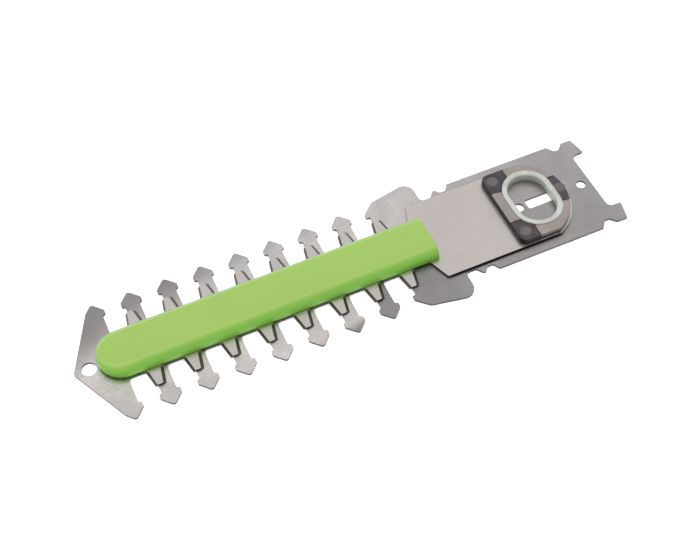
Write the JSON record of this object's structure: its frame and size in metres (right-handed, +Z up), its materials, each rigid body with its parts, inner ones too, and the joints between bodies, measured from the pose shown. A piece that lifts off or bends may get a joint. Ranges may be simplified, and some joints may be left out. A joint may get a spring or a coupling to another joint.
{
  "type": "shrub trimmer blade cartridge",
  "caption": "Flat reciprocating blade cartridge: fixed comb with arrow-shaped teeth and barbed nose, sliding toothed knife with an oval cam ring, and a half-round spine cover.",
  "frame": {"origin": "on the comb's underside, on the axis of the rear locating hole", "axes": "+X along the blade from the drive end to the nose, +Z up through the sheets towards the cover, +Y to the left seen from the drive end"},
  "size_m": [0.2285, 0.0616, 0.0073],
  "materials": {
    "comb_steel": "fine brushed sheet steel",
    "knife_steel": "ground spring steel with bevelled cutting edges",
    "drive_steel": "stamped steel with heat tinted weld zones",
    "weld_metal": "oxidised plug weld",
    "liner_nylon": "natural translucent nylon",
    "cover_plastic": "smooth satin moulded plastic, yellow green",
    "bar_steel": "sheared steel strip",
    "rivet_steel": "bright steel",
    "screw_steel": "zinc plated steel"
  },
  "bodies": {
    "comb": {"comb_plate": "comb_steel", "spine_cover": "cover_plastic", "backing_bar": "bar_steel", "nose_spacer": "bar_steel", "guide_rivet_1": "rivet_steel", "guide_rivet_2": "rivet_steel", "guide_rivet_3": "rivet_steel", "rivet_washer_1": "rivet_steel", "rivet_washer_2": "rivet_steel", "rivet_washer_3": "rivet_steel", "spacer_collar_1": "rivet_steel", "spacer_collar_2": "rivet_steel", "spacer_collar_3": "rivet_steel", "spacer_collar_4": "rivet_steel", "cover_screw_rear": "screw_steel", "cover_screw_nose": "screw_steel"},
    "knife": {"knife_plate": "knife_steel", "drive_plate": "drive_steel", "plug_weld_1": "weld_metal", "plug_weld_2": "weld_metal", "plug_weld_3": "weld_metal", "cam_liner": "liner_nylon"}
  },
  "joints": [
    {"name": "knife_stroke", "type": "slide", "parent": "comb", "child": "knife", "axis": [1, 0, 0], "range_m": [-0.0055, 0.0017]}
  ]
}
